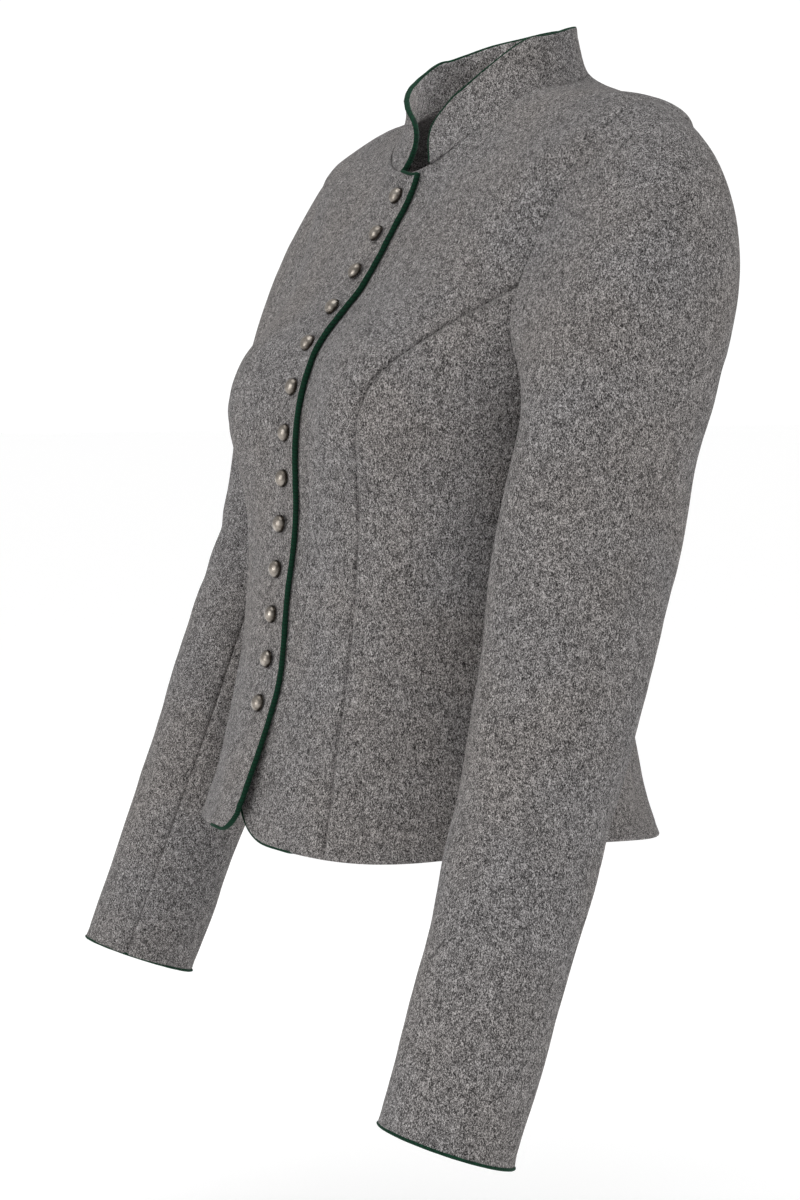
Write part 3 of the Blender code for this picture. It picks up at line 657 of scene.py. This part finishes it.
sleeves = {
    "columns": ("z", "x", "y", "wide", "thick", "lean"),
    "sections": (
        (-0.235, 0.1980, -0.040, 0.0615, 0.0390, 0.02),
        (-0.300, 0.1910, -0.051, 0.0620, 0.0390, 0.10),
        (-0.340, 0.1950, -0.063, 0.0570, 0.0425, 0.16),
        (-0.380, 0.2025, -0.077, 0.0520, 0.0440, 0.22),
        (-0.460, 0.2115, -0.105, 0.0465, 0.0435, 0.33),
        (-0.540, 0.2215, -0.136, 0.0430, 0.0400, 0.37),
        (-0.634, 0.2290, -0.172, 0.0425, 0.0370, 0.38),  # cuff
    ),
    "rightBack": 0.0082, "rightSwing": 0.0062, "rightUp": 0.007,  # the right arm hangs back and higher
    "frontSeam": 144, "backSeam": 252, "round": 0.045,  # degrees, and the mean radius
    "capOut": (0.62, 0.33), "capAhead": -0.30, "capDown": (-0.34, -0.42),  # how the cap leaves the armhole
    "armDown": (-0.08, -0.20, -0.97), "capFull": 0.30,
    "capRows": 46, "capCrowd": 1.15, "armRows": 120,
    "creases": {  # psi and w of each end, bow, depth, half width
        "Left": ((8, 1.20, -46, 1.27, 0.012, 0.0019, 0.0065), (22, 1.27, -38, 1.33, 0.010, 0.0015, 0.006),
                 (14, 1.145, -30, 1.185, 0.008, 0.0011, 0.0055), (96, 1.20, 40, 1.26, -0.014, 0.0014, 0.008),
                 (112, 1.30, 60, 1.34, -0.010, 0.0010, 0.007), (60, 0.62, 110, 0.86, 0.020, 0.0012, 0.010),
                 (-60, 0.70, -100, 0.92, 0.020, 0.0014, 0.010), (-50, 1.52, -84, 1.66, 0.0, 0.0011, 0.007),
                 (-54, 1.44, -48, 1.80, 0.0, 0.0013, 0.0022)),
        "Right": ((10, 1.19, -44, 1.25, 0.010, 0.0016, 0.0065), (20, 1.28, -42, 1.34, 0.012, 0.0014, 0.0065),
                  (100, 1.18, 44, 1.25, -0.012, 0.0013, 0.008), (110, 1.28, 66, 1.32, -0.012, 0.0011, 0.007),
                  (64, 0.60, 108, 0.84, 0.018, 0.0013, 0.010), (-64, 0.72, -98, 0.90, 0.018, 0.0013, 0.0095),
                  (70, 1.62, 100, 1.74, 0.0, 0.0009, 0.007), (-56, 1.46, -50, 1.78, 0.0, 0.0012, 0.0022)),
    },
}
sleeveTable = tableOf(sleeves["columns"], sleeves["sections"])


def sleeveForm(psi, w, side):
    # psi is 0 outside and a quarter turn at the front; w is 0 to 1 over the cap, 1 to 2 down to the cuff
    psi, w = np.broadcast_arrays(np.asarray(psi, float), np.asarray(w, float))
    cos, sin = np.cos(psi), np.sin(psi)
    back, swing, up = [sleeves[name] * (side < 0) for name in ("rightBack", "rightSwing", "rightUp")]

    def ring(share):
        zs = -sleeveTable["z"]
        z = share * (zs[0] - zs[-1]) - zs[0]
        size = {name: smoothThrough(zs, sleeveTable[name], -z) for name in sleeves["columns"][1:]}
        ahead = size["wide"] * sin * np.cos(size["lean"])
        return np.stack([
            size["x"] + size["thick"] * cos,
            size["y"] - ahead + back - swing * np.sin(math.pi * share) ** 2,
            z + size["wide"] * sin * np.sin(size["lean"]) + up * share,
        ], -1)

    inset = 1 - armhole["clear"]
    reach = np.radians(np.where(sin > 0, armhole["front"], armhole["back"]))
    start = torsoForm(math.pi / 2 - reach * inset * sin, armhole["v"] + armhole["high"] * inset * cos)
    first = ring(0 * w)
    top = (1 + cos) / 2
    out, down = sleeves["capOut"], sleeves["capDown"]
    leave = np.stack([out[0] + out[1] * top, sleeves["capAhead"] * sin, down[0] + down[1] * np.abs(sin)], -1)
    arrive = np.array(sleeves["armDown"])
    span = np.linalg.norm(first - start, axis=-1)[..., None]
    full = (1 + sleeves["capFull"] * top)[..., None]
    t = np.clip(w, 0, 1)[..., None]
    cap = (
        (1 + 2 * t) * (1 - t) ** 2 * start
        + t * (1 - t) ** 2 * span * full * leave
        + t * t * (3 - 2 * t) * first
        + t * t * (t - 1) * span * arrive
    )
    return np.where((w <= 1)[..., None], cap, ring(np.clip(w - 1, 0, 1)))


def makeSleeve(side, piece):
    first, last = sleeves["frontSeam"], sleeves["backSeam"]
    if piece == "Top":
        first, last = last - 360, first
    psi = np.radians(np.arange(first, last + 1, armhole["step"]))
    close = cloth["gap"] / sleeves["round"]
    psi[[0, -1]] += (close, -close)
    cap = np.linspace(0, 1, sleeves["capRows"], endpoint=False) ** sleeves["capCrowd"]
    w = np.concatenate([cap, np.linspace(1, 2, sleeves["armRows"] + 1)])

    def form(a, b):
        return sleeveForm(a, b, side)

    psi, w = np.meshgrid(psi, w)
    base, normals = faced(form, psi, w)
    if np.sum(normals[:, len(normals[0]) // 2] * (base[:, len(base[0]) // 2] - base.mean(1))) < 0:
        normals = -normals
    lift = pressed["sleeveSeam"] * seamRelief(base, [base[:, 0], base[:, -1]], 81 + side)
    lift += pressed["armholeSeam"] * seamRelief(base, [base[0]], 84 + side)
    lift += pressed["cuff"] * edgeRelief(base, [base[-1]])
    lift += creaseRelief(base, form, sleeves["creases"][sideWord(side)])
    lift += shoulderFilled(base) + waviness(base, side)
    points = base + normals * lift[..., None]
    return sewnPiece("sleeve" + piece, side, points, normals, (0, pressed["cuffRound"], 0, 0))[0]


stand = {
    "heightColumns": ("angle", "left", "right"),  # the right dips at the neck and rises in front
    "heights": ((0, 0.0400, 0.0430), (30, 0.0400, 0.0430), (45, 0.0390, 0.0405), (60, 0.0370, 0.0358),
                (75, 0.0362, 0.0330), (88, 0.0358, 0.0332), (105, 0.0358, 0.0354), (120, 0.0355, 0.0362),
                (150, 0.0325, 0.0332), (180, 0.0305, 0.0305)),
    "leanBack": 0.15, "leanFront": 0.30, "rightOut": 0.18,  # the right end stands further out
    "tuck": 0.0007, "round": 0.0006,  # its lower edge goes under the neckline
    "endColumns": ("h", "left", "right"),  # how far each end stops from the centre front
    "ends": ((0.00, 0.0230, 0.0085), (0.15, 0.0205, 0.0068), (0.30, 0.0178, 0.0056), (0.45, 0.0152, 0.0046),
             (0.60, 0.0135, 0.0046), (0.75, 0.0140, 0.0062), (0.85, 0.0175, 0.0095), (0.93, 0.0235, 0.0165),
             (1.00, 0.0310, 0.0310)),
    "thick": 0.0030, "across": 230, "crowd": 0.4, "up": 26,
}
standEnds = tableOf(stand["endColumns"], stand["ends"])
standHeights = tableOf(stand["heightColumns"], stand["heights"])


def handsOf(table, name, at):
    return [smoothThrough(table[name], table[hand], at) for hand in ("left", "right")]


def collarForm(phi, h):
    # phi goes round as on the body; h is 0 at the neckline and 1 at the top
    phi, h = np.broadcast_arrays(np.asarray(phi, float), np.asarray(h, float))
    base = torsoForm(phi, 1 + 0 * phi)
    share = eased((1 - np.cos(phi)) / 2)
    lean = stand["leanFront"] + (stand["leanBack"] - stand["leanFront"]) * share
    lean = lean - stand["rightOut"] * h**2 * np.where(np.sin(phi) < 0, np.clip(np.cos(phi), 0, 1), 0)
    inward = -np.stack([np.sin(phi), -np.cos(phi), 0 * phi], -1)
    around = np.degrees(np.arccos(np.clip(np.cos(phi), -1, 1)))
    left, right = handsOf(standHeights, "angle", around)
    rise = h * np.where(np.sin(phi) < 0, right, left) - stand["tuck"] * (1 - h)
    return base + inward * (lean * rise)[..., None] + np.stack([0 * rise, 0 * rise, rise], -1)


def makeCollar():
    h = np.linspace(0, 1, stand["up"] + 1)
    left, right = (angleAt(end, 1.0) for end in handsOf(standEnds, "h", h))
    share = crowded(stand["across"], stand["crowd"])
    phi = left[:, None] + (2 * math.pi - left - right)[:, None] * share
    base, normals = faced(collarForm, phi, np.repeat(h[:, None], len(share), 1))
    lift = pressed["collar"] * edgeRelief(base, [base[-1], base[:, 0], base[:, -1]])
    lift += waviness(base, 1)
    points = neckFilled(base + normals * lift[..., None], phi)
    made = sewnShell("standCollar", points, normals, stand["thick"], (0,) + 3 * (stand["round"],))
    return made, points, normals


piping = {"halfThick": 0.00195, "halfWide": 0.00120, "sunk": 0.0007, "sides": 12,
          "hemLeft": 0.068, "hemRight": 0.0235, "neckStep": 0.0225,  # how far it runs along each edge
          "hemSlim": 0.28, "hemSlimFrom": -0.005, "hemSlimOver": 0.020,
          "collarSlim": 0.34, "collarSlimFrom": -0.045, "collarSlimOver": 0.035,
          "tip": 0.35, "nextToTip": 0.8, "uneven": 0.04, "unevenSize": 0.012,
          "frontStep": 0.0016, "collarStep": 0.0014, "cuffStep": 3}


def makePiping(name, path, normals, away, thick, closed=False, slim=1.0):
    # an oval cord pressed against the cloth's edge
    count = len(path)
    sides = piping["sides"]
    middle = path - normals * thick / 2 + away * (piping["halfWide"] - piping["sunk"])
    turn = 2 * math.pi * np.arange(sides) / sides
    grow = np.ones(count)
    if not closed:
        grow[[0, -1]] = piping["tip"]
        grow[[1, -2]] = piping["nextToTip"]
    grow = grow * slim * (1 + piping["uneven"] * unevenness(path, piping["unevenSize"], 7))
    rings = middle[:, None] + grow[:, None, None] * (
        piping["halfThick"] * np.cos(turn)[None, :, None] * normals[:, None]
        + piping["halfWide"] * np.sin(turn)[None, :, None] * away[:, None]
    )
    faces = []
    for i in range(count if closed else count - 1):
        faces += ringFaces(i * sides, (i + 1) % count * sides, sides)
    if not closed:
        faces += [tuple(range(sides))[::-1], tuple(range((count - 1) * sides, count * sides))]
    points = rings.reshape(-1, 3)
    a, b, c = (points[[f[k] for f in faces[:sides]]] for k in range(3))
    if np.sum(np.cross(b - a, c - b) * (a - middle[0])) < 0:
        faces = [tuple(reversed(f)) for f in faces]
    return meshObject(name, points, faces, greenTwill, "green_piping", nodeOf(name))


def edgeAway(points, normals, into):
    along = np.gradient(points, axis=0)
    away = np.cross(along, normals)
    away /= np.linalg.norm(away, axis=1, keepdims=True)
    return away * np.sign(np.sum(away * (points - into), axis=1))[:, None]


def evenly(step, *lines):
    # keeps the points of the lines that lie at least a step apart
    first = lines[0]
    keep = [0]
    for i in range(1, len(first)):
        if np.linalg.norm(first[i] - first[keep[-1]]) >= step:
            keep.append(i)
    return [line[keep] for line in lines]


def makeFrontPiping(side, points, normals):
    reach = piping["hemLeft"] if side > 0 else piping["hemRight"]
    hem = np.flatnonzero(side * points[0, :, 0] < reach)
    edge = np.arange(len(points) - 1, 0, -1)
    line = [points[edge, 0], points[0, hem]]
    face = [normals[edge, 0], normals[0, hem]]
    into = [points[edge, 6], points[12, hem + 6]]  # points well inside the edge
    if side < 0:  # on the right front it also turns along the neckline
        inStep = side * points[-1, :, 0] + closing["overlap"] < piping["neckStep"]
        top = np.flatnonzero(inStep)[:0:-1]
        line.insert(0, points[-1, top])
        face.insert(0, normals[-1, top])
        into.insert(0, points[-8, top + 6])
    joined = [np.concatenate(parts) for parts in (line, face, into)]
    line, face, into = evenly(piping["frontStep"], *joined)
    away = edgeAway(line, face, into)
    slim = 1.0
    if side > 0:  # pulled thinner where it runs out along the left hem
        slim = 1 - piping["hemSlim"] * eased((line[:, 0] - piping["hemSlimFrom"]) / piping["hemSlimOver"])
    return makePiping("pipingFront" + sideWord(side), line, face, away, cloth["thick"], slim=slim)


def makeCollarPiping(points, normals):
    line = np.concatenate([points[:-1, 0], points[-1], points[-2::-1, -1]])
    face = np.concatenate([normals[:-1, 0], normals[-1], normals[-2::-1, -1]])
    into = np.concatenate([points[:-1, 9], points[-8], points[-2::-1, -10]])
    line, face, into = evenly(piping["collarStep"], line, face, into)
    back = eased((line[:, 1] - piping["collarSlimFrom"]) / piping["collarSlimOver"])
    slim = 1 - piping["collarSlim"] * back  # finer towards the nape
    return makePiping("pipingCollar", line, face, edgeAway(line, face, into), stand["thick"], slim=slim)


def makeCuffPiping(side):
    psi = np.radians(np.arange(0, 360, piping["cuffStep"]))

    def form(a, b):
        return sleeveForm(a, b, side)

    line, face = faced(form, psi, np.full(len(psi), 1.9995))  # just short of the cuff, at w = 2
    if np.sum(face * (line - line.mean(0))) < 0:
        face = -face
    away = line - form(psi, 1.97)
    away /= np.linalg.norm(away, axis=1, keepdims=True)
    line, face, away = (handed(each, side) for each in (line, face, away))
    return makePiping("pipingCuff" + sideWord(side), line, face, away, cloth["thick"], closed=True)


buttons = {"count": 13, "first": 0.016, "pitch": 0.0294, "radius": 0.0060, "dome": 0.0042, "rim": 0.0008,
           "stand": 0.0012, "shank": 0.0011, "shankEnd": 0.0006, "sides": 40, "tilt": 3.5,
           "domeShare": 0.965,  # the dome is a little narrower than the rim
           # share of the radius, and height from the rim: the rolled rim and the hollow under it
           "under": ((0.955, 0.0001), (0.975, -0.0001), (1.0, -0.0003), (0.985, -0.0006), (0.93, -0.0007),
                     (0.60, -0.0004))}
holes = {"start": -0.0100, "end": 0.0030, "thread": 0.00022, "bars": 15, "reach": 0.0011, "lift": 0.00028,
         "slit": 0.00012, "slant": 0.0001, "sink": 0.6, "tackAway": 0.0004, "tackFat": 1.4, "sides": 6}


def buttonPlaces():
    v = np.linspace(1, 0, 2001)
    line = torsoForm(0 * v, v)
    run = np.concatenate([[0], np.cumsum(np.linalg.norm(np.diff(line, axis=0), axis=1))])
    places = []
    for number in range(buttons["count"]):
        at = np.interp(buttons["first"] + number * buttons["pitch"], run, v)
        point, normal = faced(torsoForm, np.array(0.0), np.array(at))
        out = Vector(normal)
        up = out.cross(Vector((1, 0, 0)))
        turn = Matrix((Vector((1, 0, 0)), up, out)).transposed().to_4x4()
        places.append(Matrix.Translation(Vector(point) + out * float(lapOf(-1, 0.0, at))) @ turn)
    return places


def buttonProfile():
    # radius and height from the centre of the dome down to the shank
    radius, dome, shank = buttons["radius"], buttons["dome"], buttons["shank"]
    rim = buttons["stand"] + buttons["rim"]
    profile = [(0.0, rim + dome)]
    for turn in np.radians(np.arange(82, 5, -8)):
        profile.append((radius * buttons["domeShare"] * math.cos(turn), rim + dome * math.sin(turn)))
    profile += [(radius * share, rim + up) for share, up in buttons["under"]]
    end = -closing["out"] - closing["inside"] + buttons["shankEnd"]
    return profile + [(shank * 1.5, rim - 0.0006), (shank, rim - 0.0010), (shank, end), (0.0, end)]


def makeButtons():
    profile = buttonProfile()
    sides = buttons["sides"]
    points, faces = [(0.0, 0.0, profile[0][1])], []
    for radius, z in profile[1:-1]:
        for k in range(sides):
            turn = 2 * math.pi * k / sides
            points.append((radius * math.cos(turn), radius * math.sin(turn), z))
    points.append((0.0, 0.0, profile[-1][1]))
    last = len(points) - 1
    for k in range(sides):
        faces.append((0, 1 + k, 1 + (k + 1) % sides))
        faces.append((last, last - sides + (k + 1) % sides, last - sides + k))
    for ring in range(len(profile) - 3):
        a, b = 1 + ring * sides, 1 + (ring + 1) * sides
        for k in range(sides):
            m = (k + 1) % sides
            faces.append((a + k, b + k, b + m, a + m))
    dice = np.random.default_rng(5)
    made = []
    for number, place in enumerate(buttonPlaces(), 1):
        name = f"button{number:02d}"
        button = meshObject(name, points, faces, agedSilver, "old_silver", f"button_{number:02d}")
        lean = np.radians(dice.uniform(-buttons["tilt"], buttons["tilt"], 2))
        button.matrix_world = (place @ Matrix.Rotation(lean[0], 4, "X") @ Matrix.Rotation(lean[1], 4, "Y")
                               @ Matrix.Rotation(dice.uniform(0, 6), 4, "Z"))
        made.append(button)
    return made


def makeButtonholes():
    # close bars of thread on both sides of each slit, and a bar tack at each end
    points, faces = [], []

    def thread(place, a, b, radius):
        a, b = Vector(a), Vector(b)
        ahead = (b - a).normalized()
        side = ahead.cross(Vector((0, 0, 1))).normalized()
        up = side.cross(ahead)
        start = len(points)
        for share, fat in ((0.0, 0.5), (0.2, 1.0), (0.8, 1.0), (1.0, 0.5)):
            for k in range(sides):
                turn = 2 * math.pi / sides * k
                ring = a.lerp(b, share) + (side * math.cos(turn) + up * math.sin(turn)) * radius * fat
                points.append(tuple(place @ ring))
        for ring in range(start, start + 3 * sides, sides):
            faces.extend(ringFaces(ring, ring + sides, sides))
        faces.append(tuple(range(start + sides - 1, start - 1, -1)))
        faces.append(tuple(range(start + 3 * sides, start + 4 * sides)))

    sides, height, reach = holes["sides"], holes["lift"], holes["reach"]
    for place in buttonPlaces():
        for x in np.linspace(holes["start"], holes["end"], holes["bars"]):
            for way in (-1, 1):
                far = (x + holes["slant"], way * reach, height * holes["sink"])
                thread(place, (x, way * holes["slit"], height), far, holes["thread"])
        for x in (holes["start"] - holes["tackAway"], holes["end"] + holes["tackAway"]):
            thread(place, (x, -reach, height), (x, reach, height), holes["thread"] * holes["tackFat"])
    return meshObject("buttonholeStitches", points, faces, lodenCloth, "grey_loden")


fronts, pipings = {}, {}
for side in (1, -1):
    fronts[side], facePoints, faceNormals = makeFront(side)
    pipings[side] = makeFrontPiping(side, facePoints, faceNormals)
sideFronts = {side: makeSideFront(side) for side in (1, -1)}
backs = {side: makeBack(side) for side in (1, -1)}
print("body sewn")

sleeveTops = {side: makeSleeve(side, "Top") for side in (1, -1)}
sleeveUnders = {side: makeSleeve(side, "Under") for side in (1, -1)}
cuffs = {side: makeCuffPiping(side) for side in (1, -1)}
collar, collarPoints, collarNormals = makeCollar()
collarPiping = makeCollarPiping(collarPoints, collarNormals)
print("sleeves and collar sewn")

allButtons = makeButtons()
stitches = makeButtonholes()
print("buttons sewn on")


studio = {"floorZ": -0.88, "floorSize": 60.0, "floor": (0.96, 0.96, 0.96), "floorRough": 0.8,
          "floorGlow": 0.17, "backdrop": 1.05,  # the backdrop looks brighter than its light
          "world": {"From Min": -1.0, "To Min": 0.47, "To Max": 0.72},  # darker from the wearer's right
          "sun": 0.92, "sunSoft": 50.0, "sunFrom": (0.20, -0.25, 1.9),
          "camera": (1.269, -0.803, -0.205), "target": (-0.030, -0.053, -0.350), "lens": 66.0,
          "chest": (0, -0.05, -0.30)}
lights = {  # place, size, watts; they aim at the chest unless a target is given
    "frontBox": ((0.20, -2.05, 0.10), 1.5, 10.0),
    "backBox": ((2.05, 0.80, 0.10), 1.5, 6.0),
    "buttonLight": ((-0.25, -1.90, -0.28), 0.32, 1.5),  # small, for the gleam on the silver
    "collarLight": ((0.030, 0.000, 0.070), 0.05, 0.055),
    "neckLight": ((0.000, 0.010, -0.030), 0.05, 0.050),
}
lightTargets = {"collarLight": (-0.05, -0.02, -0.01), "neckLight": (-0.02, -0.055, -0.07)}

floor = placed("floor", bpy.data.meshes.new("floor"), (0, 0, studio["floorZ"]))
reach = studio["floorSize"] / 2
corners = [(-reach, -reach, 0), (reach, -reach, 0), (reach, reach, 0), (-reach, reach, 0)]
floor.data.from_pydata(corners, [], [(0, 1, 2, 3)])
floorPaint, _, floorShader = newMaterial("paleFloor")
dress(floorShader, {"Base Color": (*studio["floor"], 1), "Roughness": studio["floorRough"],
                    "Emission Color": (1, 1, 1, 1), "Emission Strength": studio["floorGlow"]})
floor.data.materials.append(floorPaint)

world = bpy.data.worlds.new("studio")
world.use_nodes = True
sky = world.node_tree
soft = sky.nodes["Background"]
dress(soft, {"Color": (1, 1, 1, 1)})
facing = addNode(sky, "SeparateXYZ", "Vector", addNode(sky, "TexCoord").outputs["Generated"]).outputs["X"]
fall = addNode(sky, "MapRange", "Value", facing, **studio["world"])
sky.links.new(fall.outputs["Result"], soft.inputs["Strength"])
plain = addNode(sky, "Background", Color=(1, 1, 1, 1), Strength=studio["backdrop"])
either = addNode(sky, "MixShader", "Fac", addNode(sky, "LightPath").outputs["Is Camera Ray"])
for socket, light in ((1, soft), (2, plain)):
    sky.links.new(light.outputs["Background"], either.inputs[socket])
sky.links.new(either.outputs["Shader"], sky.nodes["World Output"].inputs["Surface"])
bpy.context.scene.world = world

for name, (place, size, watts) in lights.items():
    lamp = bpy.data.lights.new(name, "AREA")
    lamp.size = size
    lamp.energy = watts
    holder = placed(name, lamp, place, lightTargets.get(name, studio["chest"]))
    holder.visible_camera = False

sun = bpy.data.lights.new("skylight", "SUN")
sun.energy = studio["sun"]
sun.angle = math.radians(studio["sunSoft"])
placed("skylight", sun, studio["sunFrom"], (0, 0, 0))

view = bpy.data.cameras.new("camera")
view.lens = studio["lens"]
view.sensor_width = 36.0
bpy.context.scene.camera = placed("camera", view, studio["camera"], studio["target"])
bpy.context.scene.view_settings.view_transform = "Standard"
print("studio set")

bpy.context.view_layer.update()
